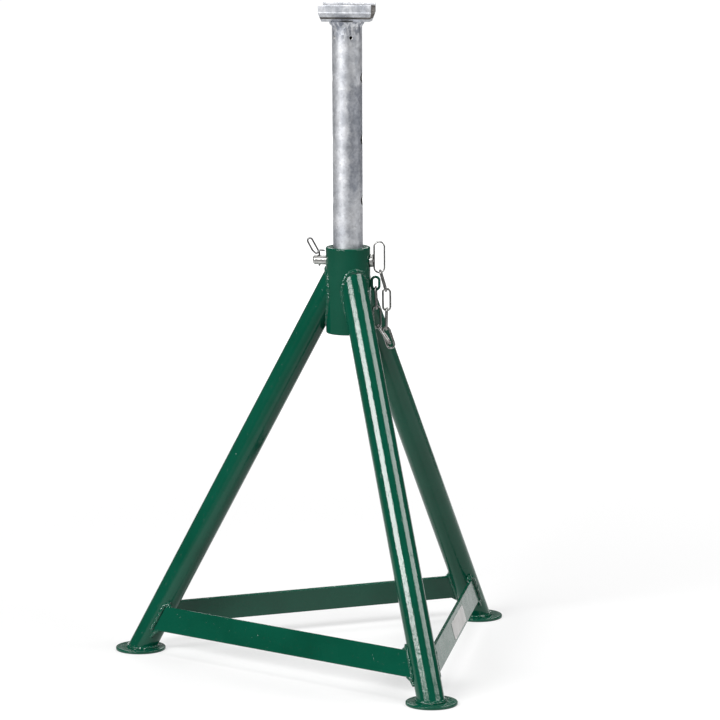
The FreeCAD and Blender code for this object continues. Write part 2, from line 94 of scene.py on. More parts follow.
def patchy(tree, coords, scale, low, high, start=0.35, end=0.65, detail=3.0, stretch=None):
    """A noise on the piece's own coordinates, mapped from one value or colour to another."""
    if stretch:
        coords = made(tree, "ShaderNodeMapping", {"Vector": coords, "Scale": stretch})
    sizes = {"Vector": coords, "Scale": scale, "Detail": detail}
    cloud = made(tree, "ShaderNodeTexNoise", sizes)
    if not isinstance(low, tuple):
        return spread(tree, cloud, start, end, low, high)
    ramp = put_node(tree, "ShaderNodeValToRGB", {"Fac": cloud})
    for stop, place, colour in zip(ramp.color_ramp.elements, (start, end), (low, high)):
        stop.position = place
        stop.color = (*colour, 1)
    return ramp.outputs["Color"]


def dented(tree, height, strength, distance, under=None):
    """A bump from a height, over an earlier bump where there is one."""
    sizes = {"Height": height, "Strength": strength, "Distance": distance}
    if under:
        sizes["Normal"] = under
    return made(tree, "ShaderNodeBump", sizes)


def make_enamel(name, lumps, coat):
    """Gloss powder coat: deep green, with orange peel, slow waves and a few dust nibs."""
    finish, tree, shader, coords = new_finish(name, COAT_GREEN, 0.0, 0.25)
    slow = dented(tree, patchy(tree, coords, 50, 0.0, 1.0, 0.2, 0.8, 1), 0.28, 0.0004)
    peel = dented(tree, patchy(tree, coords, 300, 0.0, 1.0, 0.2, 0.8, 2), 0.4, 0.00018, slow)
    nibs = patchy(tree, coords, 260, 0.0, 1.0, 0.74, 0.8, 0)
    skin = dented(tree, nibs, 0.5, 0.0002, peel)
    if lumps:
        uneven = patchy(tree, coords, 230, 0.0, 1.0, 0.25, 0.75, 1)
        skin = dented(tree, uneven, 0.9, lumps, skin)
    looks = {
        "Base Color": patchy(tree, coords, 9, (0.0009, 0.06, 0.033), (0.0013, 0.077, 0.044)),
        "Roughness": patchy(tree, coords, 30, 0.2, 0.34),
        "Specular IOR Level": 0.02,
        "Coat Weight": coat,
        "Coat Roughness": 0.08,
        "Coat Normal": skin,
        "Normal": skin,
    }
    feed(tree, shader, looks)
    return finish


ENAMEL = make_enamel("green_powder_coat", 0.0, 0.6)
WELD_ENAMEL = make_enamel("green_coat_on_welds", 0.0012, 1.0)


def softened(corners, rounds, steps=6, closed=True):
    """An outline whose corners are turned into arcs of the given radii."""
    outline = []
    count = len(corners)
    for i, (corner, radius) in enumerate(zip(corners, rounds)):
        here = Vector(corner)
        if not radius or (not closed and i in (0, count - 1)):
            outline.append(here)
            continue
        back = (Vector(corners[i - 1]) - here).normalized()
        ahead = (Vector(corners[(i + 1) % count]) - here).normalized()
        half = back.angle(ahead) / 2
        inward = (back + ahead).normalized()
        across = (ahead - inward * ahead.dot(inward)).normalized()
        centre = here + inward * (radius / sin(half))
        for step in range(steps + 1):
            turn = (2 * step / steps - 1) * (pi / 2 - half)
            outline.append(centre - inward * (radius * cos(turn)) + across * (radius * sin(turn)))
    return outline


def divided(outline, longest, closed=True):
    """The outline with its long straight runs divided, so that light runs evenly."""
    points = []
    count = len(outline)
    for i, here in enumerate(outline):
        points.append(here)
        if not closed and i == count - 1:
            break
        there = outline[(i + 1) % count]
        parts = max(1, round((there - here).length / longest))
        for part in range(1, parts):
            points.append(here.lerp(there, part / parts))
    return points


def settle(name, mesh, finish, crease=35):
    """A finished piece from a mesh: doubles merged, faces out, smooth but for its edges."""
    shell = bmesh.new()
    shell.from_mesh(mesh)
    bmesh.ops.remove_doubles(shell, verts=shell.verts, dist=1e-6)
    bmesh.ops.recalc_face_normals(shell, faces=shell.faces)
    shell.to_mesh(mesh)
    shell.free()
    mesh.name = name
    mesh.shade_smooth()
    mesh.set_sharp_from_angle(angle=radians(crease))
    if finish and finish.name not in mesh.materials:
        mesh.materials.clear()
        mesh.materials.append(finish)
    piece = bpy.data.objects.new(name, mesh)
    bpy.context.scene.collection.objects.link(piece)
    return piece


def mesh_from(points, faces, edges=()):
    """A mesh of the points with its faces, or with edges alone."""
    mesh = bpy.data.meshes.new("shape")
    mesh.from_pydata([tuple(point) for point in points], edges, faces)
    return mesh


def lattice(rings, count, loop=True, closed=True):
    """Four-sided faces between neighbouring rings, which may loop and may be closed."""
    faces = []
    for ring in range(rings if loop else rings - 1):
        this, following = ring * count, (ring + 1) % rings * count
        for i in range(count if closed else count - 1):
            j = (i + 1) % count
            faces.append((this + i, following + i, following + j, this + j))
    return faces


def turned(section, around, hollow):
    """A section of (radius, height) points turned about the Z axis."""
    points = []
    for step in range(around):
        angle = 2 * pi * step / around
        for radius, height in section:
            points.append((radius * cos(angle), radius * sin(angle), height))
    return mesh_from(points, lattice(around, len(section), True, hollow))


def evened(piece):
    """Shading that follows the large faces, and not the narrow ones at their edges."""
    weighted = piece.modifiers.new("even_shading", "WEIGHTED_NORMAL")
    weighted.keep_sharp = True
    return piece


def drilled(name, mesh, cutters, finish):
    """The mesh less the cutting meshes, as a settled piece."""
    blank = settle(name + "_blank", mesh, finish)
    tools = []
    for number, cutter in enumerate(cutters):
        tool = settle("%s_tool_%d" % (name, number), cutter, None)
        bore = blank.modifiers.new("bore_%d" % number, "BOOLEAN")
        bore.operation = "DIFFERENCE"
        bore.solver = "EXACT"
        bore.object = tool
        tools.append(tool)
    bpy.context.view_layer.update()
    seen = blank.evaluated_get(bpy.context.evaluated_depsgraph_get())
    cut_mesh = bpy.data.meshes.new_from_object(seen)
    for spent in [blank] + tools:
        bpy.data.objects.remove(spent)
    return settle(name, cut_mesh, finish)


def rod_mesh(radius, length, across, centre):
    """A plain rod along a direction, for cutting holes."""
    half = length / 2
    mesh = turned([(0, -half), (radius, -half), (radius, half), (0, half)], 64, False)
    turn = Vector((0, 0, 1)).rotation_difference(Vector(across)).to_matrix().to_4x4()
    mesh.transform(Matrix.Translation(centre) @ turn)
    return mesh


socket_corners = [
    (SOCKET_BORE, SOCKET_FOOT),
    (SOCKET_OUTER, SOCKET_FOOT),
    (SOCKET_OUTER, SOCKET_TOP),
    (SOCKET_BORE, SOCKET_TOP),
]
socket_rounds = (0.0006, 0.002, 0.0026, 0.0008)
socket_section = divided(softened(socket_corners, socket_rounds), 0.006)
pin_hole = rod_mesh(PIN_HOLE, 0.1, (1, 0, 0), (0, 0, PIN_LEVEL))
socket = drilled("socket_collar", turned(socket_section, 128, True), [pin_hole], ENAMEL)
evened(socket)
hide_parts("socket_tube")
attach(socket, "frame")

# Legs
# Three lengths of 45 mm steel tube that lean in to one point on the column's axis. Each
# is coped to the socket at its top and sawn flat at its foot, and welded all round.
LEG_RADIUS = 0.0225
LEG_WALL = 0.0032
FOOT_REACH = 0.362
APEX_HEIGHT = 0.686
FOOT_THICK = 0.005
COPE_SINK = 0.0003
LEG_WAYS = {"front": -60, "left": 180, "rear": 60}


def leg_frame(azimuth):
    """Where a leg's axis meets the floor, its direction up, and two directions across it."""
    turn = radians(azimuth)
    toe = Vector((FOOT_REACH * cos(turn), FOOT_REACH * sin(turn), 0))
    rise = (Vector((0, 0, APEX_HEIGHT)) - toe).normalized()
    side = Vector((-sin(turn), cos(turn), 0))
    return toe, rise, side, rise.cross(side)


def on_leg(azimuth, radius, around):
    """A point of the leg's skin at the floor, with the leg's direction."""
    toe, rise, side, out = leg_frame(azimuth)
    return toe + side * (radius * cos(around)) + out * (radius * sin(around)), rise


def leg_at_height(azimuth, radius, around, height):
    """Where a line along the leg's skin passes a height."""
    start, rise = on_leg(azimuth, radius, around)
    return start + rise * ((height - start.z) / rise.z)


def leg_at_socket(azimuth, radius, around, reach):
    """Where a line along the leg's skin enters an upright cylinder on the column's axis."""
    start, rise = on_leg(azimuth, radius, around)
    a = rise.x**2 + rise.y**2
    b = 2 * (start.x * rise.x + start.y * rise.y)
    c = start.x**2 + start.y**2 - reach**2
    return start + rise * ((-b - sqrt(b * b - 4 * a * c)) / (2 * a))


def leg_mesh(azimuth):
    """A tube wall between the flat foot and the coped top, closed at both ends."""
    around, along = 96, 80
    points = []
    for layer, radius in enumerate((LEG_RADIUS, LEG_RADIUS - LEG_WALL)):
        for ring in range(along + 1):
            share = ring / along if layer == 0 else 1 - ring / along
            for step in range(around):
                angle = 2 * pi * step / around
                foot = leg_at_height(azimuth, radius, angle, FOOT_THICK)
                top = leg_at_socket(azimuth, radius, angle, SOCKET_OUTER - COPE_SINK)
                points.append(foot.lerp(top, share))
    return mesh_from(points, lattice(2 * (along + 1), around))


for side, azimuth in LEG_WAYS.items():
    leg = settle(side + "_leg_tube", leg_mesh(azimuth), ENAMEL)
    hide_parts("leg_" + side)
    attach(leg, "frame")

# Foot discs
# Flat discs punched from 5 mm plate, with edges rounded by the shot blast, one welded
# under each leg so that the stand bears evenly on a workshop floor.
DISC_RADIUS = 0.0425

disc_corners = [(0, 0), (DISC_RADIUS, 0), (DISC_RADIUS, FOOT_THICK), (0, FOOT_THICK)]
disc_section = divided(softened(disc_corners, (0, 0.001, 0.002, 0), 6, False), 0.006, False)
for side, azimuth in LEG_WAYS.items():
    disc_mesh = turned(disc_section, 96, False)
    disc_mesh.transform(Matrix.Translation(leg_frame(azimuth)[0]))
    disc = evened(settle(side + "_foot_disc", disc_mesh, ENAMEL))
    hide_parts("foot_" + side)
    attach(disc, "frame")

# Braces
# Three lengths of 43 by 6 mm flat bar on edge, low down between the legs. Each lies in
# the lean of its two legs, outside their middle, and is coped and welded to their flanks.
BAR_HEIGHT = 0.043
BAR_THICK = 0.006
BAR_EDGE = 0.0014
BAR_OUT = 0.014
BAR_LEVEL = 0.0575
BRACE_WAYS = {"left": -120, "right": 0, "rear": 120}
BRACE_TILT = atan(FOOT_REACH / 2 / APEX_HEIGHT)


def brace_point(azimuth, out, up, along):
    """A point by its distance out from the legs' plane, up that plane, and along the bar."""
    x = FOOT_REACH / 2 + out * cos(BRACE_TILT) - up * sin(BRACE_TILT)
    z = out * sin(BRACE_TILT) + up * cos(BRACE_TILT)
    return Matrix.Rotation(radians(azimuth), 3, "Z") @ Vector((x, along, z))


def bar_end(out, up, sink=0.0):
    """How far along the bar its leg's skin lies, or a depth below it, at one point."""
    start = brace_point(0, out, up, 0)
    toe, rise = leg_frame(60)[:2]
    offset = start - toe
    across = Vector((0, 1, 0)) - rise * rise.y
    flat = offset - rise * offset.dot(rise)
    a = across.length_squared
    b = 2 * flat.dot(across)
    c = flat.length_squared - (LEG_RADIUS - sink) ** 2
    return (-b - sqrt(b * b - 4 * a * c)) / (2 * a)


def rectangle(x, y, width, height):
    """The four corners of a rectangle round its middle."""
    ways = ((-1, -1), (1, -1), (1, 1), (-1, 1))
    return [(x + sx * width / 2, y + sy * height / 2) for sx, sy in ways]


bar_corners = rectangle(BAR_OUT, BAR_LEVEL, BAR_THICK, BAR_HEIGHT)
bar_section = divided(softened(bar_corners, (BAR_EDGE,) * 4, 5), 0.004)


def bar_mesh(azimuth):
    """A flat bar with softened long edges and both ends coped to the legs."""
    along = 60
    count = len(bar_section)
    points = []
    for ring in range(along + 1):
        share = 2 * ring / along - 1
        for out, up in bar_section:
            points.append(brace_point(azimuth, out, up, share * bar_end(out, up, COPE_SINK)))
    faces = lattice(along + 1, count, False)
    reach = bar_end(BAR_OUT, BAR_LEVEL, COPE_SINK)
    for end, sign in ((0, -1), (along, 1)):
        points.append(brace_point(azimuth, BAR_OUT, BAR_LEVEL, sign * reach))
        middle = len(points) - 1
        for i in range(count):
            faces.append((end * count + i, end * count + (i + 1) % count, middle))
    return mesh_from(points, faces)


for side, azimuth in BRACE_WAYS.items():
    brace = evened(settle(side + "_brace_bar", bar_mesh(azimuth), ENAMEL, crease=50))
    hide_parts("brace_" + side)
    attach(brace, "frame")

# Data label
# A thin pale label on the outer face of the right-hand brace, stuck on over the coat.
# Its print is left off.
LABEL_MIDDLE = 0.0215
LABEL_LENGTH = 0.147
LABEL_HEIGHT = 0.029
LABEL_THICK = 0.0004
LABEL_SINK = 0.0002
LABEL_DROP = 0.002
LABEL_CORNER = 0.003

film, film_tree, film_shader, film_coords = new_finish("label_film", (0.66, 0.65, 0.64), 0.0, 0.45)
film_looks = {
    "Base Color": patchy(film_tree, film_coords, 40, (0.6, 0.59, 0.58), (0.7, 0.69, 0.68)),
    "Normal": dented(film_tree, patchy(film_tree, film_coords, 90, 0.0, 1.0), 0.2, 0.0002),
}
feed(film_tree, film_shader, film_looks)
label_corners = rectangle(LABEL_MIDDLE, BAR_LEVEL - LABEL_DROP, LABEL_LENGTH, LABEL_HEIGHT)
label_outline = softened(label_corners, (LABEL_CORNER,) * 4, 6)
label_points = [
    brace_point(0, BAR_OUT + BAR_THICK / 2 + lift, up, along)
    for lift in (-LABEL_SINK, LABEL_THICK)
    for along, up in label_outline
]
edge_count = len(label_outline)
label_faces = [tuple(range(edge_count)), tuple(range(edge_count, 2 * edge_count))]
label_faces += lattice(2, edge_count, False)
label = settle("data_label", mesh_from(label_points, label_faces), film)
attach(label, "frame")

# Weld beads of the frame
# Hand-laid beads of overlapping ripples that run round both ends of each leg and round
# each end of each brace, with fills in the corners under and over the braces. They are
# under the same green coat as the tubes.
LEG_BEAD = 0.0062
LEG_BEAD_SINK = 0.0036
FOOT_BEAD = 0.0036
FOOT_BEAD_SINK = 0.0006
FOOT_BEAD_LIFT = 0.0008
BRACE_BEAD = 0.0035
BRACE_BEAD_SINK = 0.0012
BRACE_BEAD_CORNER = 0.003
LOOP_THICK = BAR_THICK * 1.3
LOOP_HEIGHT = BAR_HEIGHT * 1.13
CORNER_BEAD = 0.0031
CORNER_SINK = 0.001
RIPPLE = 0.0052


def open_tree(name, start, sizes, others):
    """A Geometry Nodes tree with named inputs: a start, its sizes, others and a finish."""
    tree = bpy.data.node_groups.new(name, "GeometryNodeTree")
    kinds = {start: "Geometry", **dict.fromkeys(sizes, "Float"), **others, "Finish": "Material"}
    for label, kind in kinds.items():
        tree.interface.new_socket(name=label, in_out="INPUT", socket_type="NodeSocket" + kind)
    tree.interface.new_socket(name="Metal", in_out="OUTPUT", socket_type="NodeSocketGeometry")
    return tree, tree.nodes.new("NodeGroupInput").outputs


def close_tree(tree, mesh, finish):
    """Ends a tree in Realize Instances and Set Material."""
    solid = made(tree, "GeometryNodeRealizeInstances", {"Geometry": mesh})
    coats = {"Geometry": solid, "Material": finish}
    coated = made(tree, "GeometryNodeSetMaterial", coats)
    put_node(tree, "NodeGroupOutput", {"Metal": coated})
    return tree


def put_math(tree, operation, *values):
    """A Math node on sockets or plain numbers."""
    inputs = dict(enumerate(values))
    return made(tree, "ShaderNodeMath", inputs, operation=operation)


def put_vector(tree, operation, inputs):
    """A Vector Math node and its outputs."""
    return put_node(tree, "ShaderNodeVectorMath", inputs, operation=operation).outputs


def swept(tree, curve, radius, sides, caps):
    """Round metal of a radius along a curve."""
    ring = {"Resolution": sides, "Radius": radius}
    profile = made(tree, "GeometryNodeCurvePrimitiveCircle", ring)
    parts = {"Curve": curve, "Profile Curve": profile, "Fill Caps": caps}
    return made(tree, "GeometryNodeCurveToMesh", parts)


def stepped(tree, curve, step):
    """A curve with its points laid out again at one step."""
    sizes = {"Curve": curve, "Length": step}
    return made(tree, "GeometryNodeResampleCurve", sizes, mode="LENGTH")


def bead_tree():
    """Round metal laid along a path: a weld's ripples, or plain wire where they are nil."""
    sizes = ("Radius", "Ripple Length", "Ripple Depth", "Wander", "Step", "Seed")
    tree, given = open_tree("metal_along_a_path", "Path", sizes, {})
    path = made(tree, "GeometryNodeMeshToCurve", {"Mesh": given["Path"]})
    run = put_node(tree, "GeometryNodeSplineParameter", {}).outputs["Length"]
    phase = put_math(tree, "MULTIPLY", put_math(tree, "DIVIDE", run, given["Ripple Length"]), pi)
    wave = put_math(tree, "ABSOLUTE", put_math(tree, "SINE", phase))
    place = made(tree, "GeometryNodeInputPosition", {})
    cloud_sizes = {"Vector": place, "W": given["Seed"], "Scale": 160.0, "Detail": 1.0}
    cloud = put_node(tree, "ShaderNodeTexNoise", cloud_sizes, noise_dimensions="4D").outputs
    uneven = put_math(tree, "ADD", wave, put_math(tree, "SUBTRACT", cloud["Fac"], 0.5))
    swell = put_math(tree, "MULTIPLY_ADD", uneven, given["Ripple Depth"], 1.0)
    grades = {"Curve": stepped(tree, path, given["Step"]), "Radius": swell}
    sized = made(tree, "GeometryNodeSetCurveRadius", grades)
    drift = put_vector(tree, "SUBTRACT", {0: cloud["Color"], 1: (0.5, 0.5, 0.5)})[0]
    aside = put_vector(tree, "SCALE", {0: drift, "Scale": given["Wander"]})[0]
    moved = made(tree, "GeometryNodeSetPosition", {"Geometry": sized, "Offset": aside})
    return close_tree(tree, swept(tree, moved, given["Radius"], 16, True), given["Finish"])


def grown(tree, name, mesh, sizes, finish, crease=60):
    """Runs a Geometry Nodes tree on a mesh and keeps the result as a plain piece."""
    seed = bpy.data.objects.new(name + "_seed", mesh)
    bpy.context.scene.collection.objects.link(seed)
    run = seed.modifiers.new(name, "NODES")
    run.node_group = tree
    values = {**sizes, "Finish": finish}
    for item in tree.interface.items_tree:
        if item.in_out == "INPUT" and item.name in values:
            run[item.identifier] = values[item.name]
    bpy.context.view_layer.update()
    seen = seed.evaluated_get(bpy.context.evaluated_depsgraph_get())
    result = bpy.data.meshes.new_from_object(seen)
    bpy.data.objects.remove(seed)
    return settle(name, result, finish, crease)


BEAD_TREE = bead_tree()


def laid(name, paths, finish, closed=True, **sizes):
    """Beads of metal along lists of points, each list closed to a loop or left open."""
    points, edges = [], []
    for path in paths:
        first = len(points)
        points += path
        edges += [(i, i + 1) for i in range(first, len(points) - 1)]
        if closed:
            edges.append((len(points) - 1, first))
    sizes = {size.replace("_", " ").title(): value for size, value in sizes.items()}
    return grown(BEAD_TREE, name, mesh_from(points, [], edges), sizes, finish)


turns = [2 * pi * step / 72 for step in range(72)]
foot_level = FOOT_THICK + FOOT_BEAD_LIFT
top_paths, foot_paths = [], []
for azimuth in LEG_WAYS.values():
    side, out = leg_frame(azimuth)[2:]
    top_path, foot_path = [], []
    for turn in turns:
        point = leg_at_socket(azimuth, LEG_RADIUS, turn, SOCKET_OUTER)
        skins = Vector((point.x, point.y, 0)).normalized() + side * cos(turn) + out * sin(turn)
        top_path.append(point - skins.normalized() * LEG_BEAD_SINK)
        foot_path.append(leg_at_height(azimuth, LEG_RADIUS - FOOT_BEAD_SINK, turn, foot_level))
    top_paths.append(top_path)
    foot_paths.append(foot_path)
leg_beads = laid(
    "leg_weld_beads", top_paths, WELD_ENAMEL,
    radius=LEG_BEAD, ripple_length=RIPPLE, ripple_depth=0.32, wander=0.003, step=0.0007, seed=3.0,
)
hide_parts("leg_welds")
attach(leg_beads, "frame")
foot_beads = laid(
    "foot_weld_beads", foot_paths, WELD_ENAMEL,
    radius=FOOT_BEAD, ripple_length=RIPPLE, ripple_depth=0.5, wander=0.0022, step=0.0007, seed=4.0,
)
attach(foot_beads, "frame")

loop_corners = rectangle(BAR_OUT, BAR_LEVEL, LOOP_THICK, LOOP_HEIGHT)
brace_loop = divided(softened(loop_corners, (BRACE_BEAD_CORNER,) * 4, 6), 0.002)
brace_paths = [
    [
        brace_point(azimuth, out, up, sign * (bar_end(out, up) - BRACE_BEAD_SINK))
        for out, up in brace_loop
    ]
    for azimuth in BRACE_WAYS.values()
    for sign in (-1, 1)
]
brace_beads = laid(
    "brace_weld_beads", brace_paths, WELD_ENAMEL,
    radius=BRACE_BEAD, ripple_length=RIPPLE, ripple_depth=0.52, wander=0.0022, step=0.0007,
    seed=8.0,
)
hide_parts("brace_welds")
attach(brace_beads, "frame")


def corner_paths(azimuth, sign, upward, climb, run):
    """Four beads across one corner, each from higher on the leg to further along the bar."""
    edge = BAR_LEVEL + upward * BAR_HEIGHT / 2
    corner = brace_point(azimuth, BAR_OUT, edge, sign * bar_end(BAR_OUT, edge))
    paths = []
    for share in (0.25, 0.5, 0.75, 1.0):
        high = edge + upward * climb * share
        start = brace_point(azimuth, BAR_OUT, high, sign * bar_end(BAR_OUT, high))
        reach = bar_end(BAR_OUT, edge) - run * share
        end = brace_point(azimuth, BAR_OUT, edge - upward * CORNER_SINK, sign * reach)
        middle = start.lerp(end, 0.5).lerp(corner, 0.3)
        paths.append([start, start.lerp(middle, 0.6), middle, middle.lerp(end, 0.4), end])
    return paths


fill_paths = []
for azimuth in BRACE_WAYS.values():
    for sign in (-1, 1):
        fill_paths += corner_paths(azimuth, sign, 1, climb=0.009, run=0.008)
        fill_paths += corner_paths(azimuth, sign, -1, climb=0.012, run=0.011)
corner_fill = laid(
    "brace_corner_welds", fill_paths, WELD_ENAMEL, False,
    radius=CORNER_BEAD, ripple_length=RIPPLE, ripple_depth=0.3, wander=0.0012, step=0.0009,
    seed=5.0,
)
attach(corner_fill, "frame")

# Column
# A 50 mm steel tube with four cross holes a fixed pitch apart and two small vents under
# the saddle, galvanised in a bath after drilling, so its zinc is mottled and has runs.
COLUMN_RADIUS = 0.025
COLUMN_WALL = 0.004
COLUMN_FOOT = 0.5863
COLUMN_TOP = 1.0763
HOLE_PITCH = 0.102
HOLE_LEVEL = 0.6763
HOLE_RADIUS = 0.009
VENT_RADIUS = 0.003
VENT_LEVEL = COLUMN_TOP - 0.026
VENT_WAYS = (-66, -140)
SKIN = 0.0001
TEARS_FROM, TEARS_TO = 1.036, 1.062
DARK_SIDE = (0.866, -0.5, 0)
DARK_FROM, DARK_TO = 0.0155, 0.019
DARK_TOP, DARK_WANING, DARK_FULL, DARK_FOOT = 0.985, 0.965, 0.81, 0.775
SEAT_HALF = 0.0243
SEAT_FLOOR = 1.0811
SEAT_WANING, SEAT_TOP = 1.1, 1.1025
BORE_REACH = 0.0246


def mixed(tree, share, first, second, blend="MIX"):
    """Two colours laid over one another by a share."""
    parts = {0: share, 6: first, 7: second}
    mix = put_node(tree, "ShaderNodeMix", parts, data_type="RGBA", blend_type=blend)
    return mix.outputs[2]


def multiplied(tree, first, *others):
    """The product of several values."""
    for other in others:
        first = put_math(tree, "MULTIPLY", first, other)
    return first


def make_galvanised():
    """Bath zinc: grey patches and spangles, dull and bright by turns, with runs down it, and
    painted shade inside the trough and the tube.
    """
    finish, tree, shader, coords = new_finish("bath_zinc", (0.4, 0.41, 0.42), 0.55, 0.45)
    base = patchy(tree, coords, 42, (0.44, 0.46, 0.5), (0.78, 0.79, 0.82), 0.33, 0.67, 6)
    runs = patchy(tree, coords, 60, 0.0, 0.65, 0.47, 0.75, 3, (1, 1, 0.12))
    bright = mixed(tree, runs, base, (0.86, 0.87, 0.89, 1))
    spangle = put_node(tree, "ShaderNodeTexVoronoi", {"Vector": coords, "Scale": 260.0})
    grains = spread(tree, spangle.outputs["Color"], 0.0, 1.0, 0.84, 1.12)
    shade = mixed(tree, 1.0, bright, grains, "MULTIPLY")

    # Torn drips below the saddle, and a dark patch down the right front of the column
    place = put_node(tree, "ShaderNodeSeparateXYZ", {"Vector": coords}).outputs
    on_column = put_math(tree, "LESS_THAN", place["Z"], COLUMN_TOP + SKIN)
    tears = multiplied(
        tree,
        patchy(tree, coords, 150, 0.0, 1.0, 0.46, 0.57, 3, (1, 1, 0.4)),
        spread(tree, place["Z"], TEARS_FROM, TEARS_TO),
        put_math(tree, "MULTIPLY_ADD", on_column, 0.75, 0.25),
    )
    wobble = patchy(tree, coords, 70, -0.004, 0.004, 0.3, 0.7, 3)
    to_side = put_vector(tree, "DOT_PRODUCT", {0: coords, 1: DARK_SIDE})["Value"]
    lean = put_math(tree, "ADD", to_side, wobble)
    level = put_math(tree, "MULTIPLY_ADD", wobble, 2.5, place["Z"])
    patch = multiplied(
        tree,
        spread(tree, lean, DARK_FROM, DARK_TO),
        spread(tree, level, DARK_TOP, DARK_WANING),
        spread(tree, level, DARK_FOOT, DARK_FULL, 0.15, 0.6),
        patchy(tree, coords, 190, 0.65, 1.25, 0.35, 0.65, 4),
    )
    marks = put_math(tree, "MAXIMUM", patch, put_math(tree, "MULTIPLY", tears, 0.8))
    marked = mixed(tree, marks, shade, (0.2, 0.22, 0.27, 1))

    # Painted shade: a dark colour inside the trough and inside the tube and its holes, where their
    # walls cast shade
    trough_shade = multiplied(
        tree,
        put_math(tree, "LESS_THAN", put_math(tree, "ABSOLUTE", place["Y"]), SEAT_HALF),
        put_math(tree, "GREATER_THAN", place["Z"], SEAT_FLOOR),
        spread(tree, place["Z"], SEAT_TOP, SEAT_WANING),
    )
    flat = made(tree, "ShaderNodeCombineXYZ", {"X": place["X"], "Y": place["Y"]})
    off_axis = put_vector(tree, "LENGTH", {0: flat})["Value"]
    # The tube's inside and the cut faces of its holes, where the shade is painted
    bore = multiplied(
        tree,
        put_math(tree, "LESS_THAN", off_axis, BORE_REACH),
        put_math(tree, "LESS_THAN", place["Z"], COLUMN_TOP - SKIN),
    )
    # The colour of the painted shade
    painted_shade = patchy(tree, coords, 90, (0.07, 0.066, 0.062), (0.2, 0.19, 0.18))
    torn = dented(tree, tears, 0.5, 0.0008)
    broad = patchy(tree, coords, 40, 0.0, 1.0, 0.2, 0.8, 2, (1, 1, 0.3))
    broad = dented(tree, broad, 0.14, 0.0005, torn)
    fine = patchy(tree, coords, 420, 0.0, 1.0, 0.2, 0.8, 2)
    looks = {
        "Base Color": mixed(tree, put_math(tree, "MAXIMUM", trough_shade, bore), marked, painted_shade),
        "Roughness": patchy(tree, coords, 70, 0.48, 0.6, 0.3, 0.7, 4),
        "Metallic": patchy(tree, coords, 24, 0.85, 1.0),
        "Normal": dented(tree, fine, 0.35, 0.0002, broad),
    }
    feed(tree, shader, looks)
    return finish


GALVANISED = make_galvanised()


def raised(tree, height):
    """A vector straight up to a height."""
    return made(tree, "ShaderNodeCombineXYZ", {"Z": height})


def cylinder(tree, vertices, radius, depth, rings=1):
    """A cylinder on the Z axis."""
    sizes = {"Vertices": vertices, "Side Segments": rings, "Radius": radius, "Depth": depth}
    return made(tree, "GeometryNodeMeshCylinder", sizes)


def perforated_tree():
    """A tube on the Z axis with a row of cross holes along X, from its sizes."""
    sizes = ("Outer Radius", "Inner Radius", "Foot", "Length", "First Hole", "Pitch", "Hole Radius")
    tree, given = open_tree("perforated_tube", "Nothing", sizes, {"Hole Count": "Int"})
    middle = raised(tree, put_math(tree, "MULTIPLY_ADD", given["Length"], 0.5, given["Foot"]))
    rods = []
    for radius, stretch in (("Outer Radius", 1.0), ("Inner Radius", 1.2)):
        length = put_math(tree, "MULTIPLY", given["Length"], stretch)
        shift = {"Geometry": cylinder(tree, 128, given[radius], length, 96), "Translation": middle}
        rods.append(made(tree, "GeometryNodeTransform", shift))
    line = {
        "Count": given["Hole Count"],
        "Start Location": raised(tree, given["First Hole"]),
        "Offset": raised(tree, given["Pitch"]),
    }
    spots = {
        "Points": made(tree, "GeometryNodeMeshLine", line),
        "Instance": cylinder(tree, 72, given["Hole Radius"], 0.08),
        "Rotation": (0, pi / 2, 0),
    }
    drills = made(tree, "GeometryNodeInstanceOnPoints", spots)
    drills = made(tree, "GeometryNodeRealizeInstances", {"Geometry": drills})
    tube = {"Mesh 1": rods[0], "Mesh 2": rods[1]}
    cut = put_node(tree, "GeometryNodeMeshBoolean", tube, operation="DIFFERENCE", solver="EXACT")
    tree.links.new(drills, cut.inputs["Mesh 2"])
    return close_tree(tree, cut.outputs["Mesh"], given["Finish"])


column_sizes = {
    "Outer Radius": COLUMN_RADIUS,
    "Inner Radius": COLUMN_RADIUS - COLUMN_WALL,
    "Foot": COLUMN_FOOT,
    "Length": COLUMN_TOP - COLUMN_FOOT,
    "First Hole": HOLE_LEVEL,
    "Pitch": HOLE_PITCH,
    "Hole Radius": HOLE_RADIUS,
    "Hole Count": 4,
}
nothing = bpy.data.meshes.new("nothing")
column_blank = grown(
    perforated_tree(), "column_blank", nothing, column_sizes, GALVANISED, crease=35
)
vents = []
for azimuth in VENT_WAYS:
    across = Vector((cos(radians(azimuth)), sin(radians(azimuth)), 0))
    vents.append(rod_mesh(VENT_RADIUS, 0.03, across, across * 0.02 + Vector((0, 0, VENT_LEVEL))))
column_mesh = column_blank.data.copy()
bpy.data.objects.remove(column_blank)
column = drilled("perforated_column", column_mesh, vents, GALVANISED)
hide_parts("column_tube")
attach(column, "column")

# Saddle
# A trough pressed from 5 mm plate, with upright lips, a slightly raised knee below them,
# open at both ends and chamfered at its lower corners. It is welded on the column and
# galvanised with it.
SADDLE_HALF = 0.044
SADDLE_KNEE = 0.0145
SADDLE_BEVEL = 0.004
LIP_FOOT = 0.02
LIP_HEIGHT = 0.009
LIP_SAG = 0.0007

half_corners = [
    (0.017, 0), (0.0287, 0.0132), (0.0299, 0.0152), (0.029, 0.0168),
    (0.029, 0.029), (0.024, 0.029), (0.024, 0.0165), (0.015, 0.005),
]
half_rounds = [0.004, 0.0008, 0.0007, 0.0007, 0.0015, 0.0015, 0.002, 0.002]
other_corners = [(-y, z) for y, z in half_corners]
saddle_corners = other_corners[:1] + half_corners + other_corners[:0:-1]
saddle_rounds = half_rounds[:1] + half_rounds + half_rounds[:0:-1]
saddle_outline = divided(softened(saddle_corners, saddle_rounds, 5), 0.0025)


